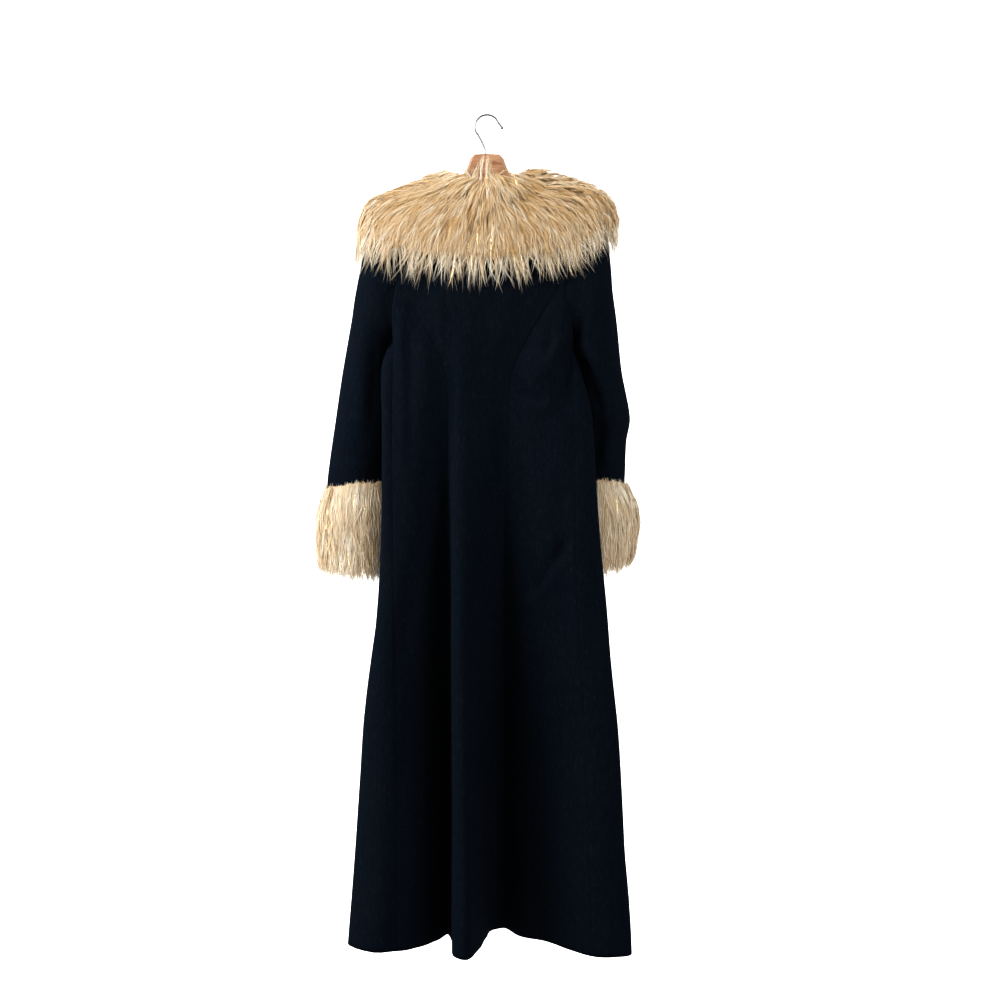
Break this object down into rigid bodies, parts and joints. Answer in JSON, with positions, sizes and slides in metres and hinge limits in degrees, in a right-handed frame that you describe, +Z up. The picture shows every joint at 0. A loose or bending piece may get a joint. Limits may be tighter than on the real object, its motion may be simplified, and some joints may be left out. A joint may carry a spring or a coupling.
{
  "type": "fur-collared maxi coat on a wooden clothes hanger",
  "caption": "Ankle-length A-line coat with princess seams, a round shaggy fur collar and deep fur cuffs, hanging open at neck, cuffs and hem on a wooden hanger.",
  "frame": {"origin": "underside of the top of the hook's arc, where the rail bears, in the middle of the wire", "axes": "+Z up, +X to the wearer's left, +Y out of the coat's back, so the coat's front faces -Y"},
  "size_m": [0.562, 0.2118, 1.4131],
  "materials": {
    "cloth": "matt, slightly napped twill, black with a navy cast",
    "fur": "long shaggy pile, cream to gold beige",
    "wood": "satin varnish, reddish brown",
    "chrome": "polished wire"
  },
  "bodies": {
    "root": {"back_center": "cloth", "back_side_left": "cloth", "back_side_right": "cloth", "front_left": "cloth", "front_right": "cloth", "sleeve_left": "cloth", "sleeve_right": "cloth", "cuff_left": "fur", "cuff_right": "fur", "collar": "fur", "hanger_body": "wood", "hanger_hook": "chrome"}
  },
  "joints": []
}
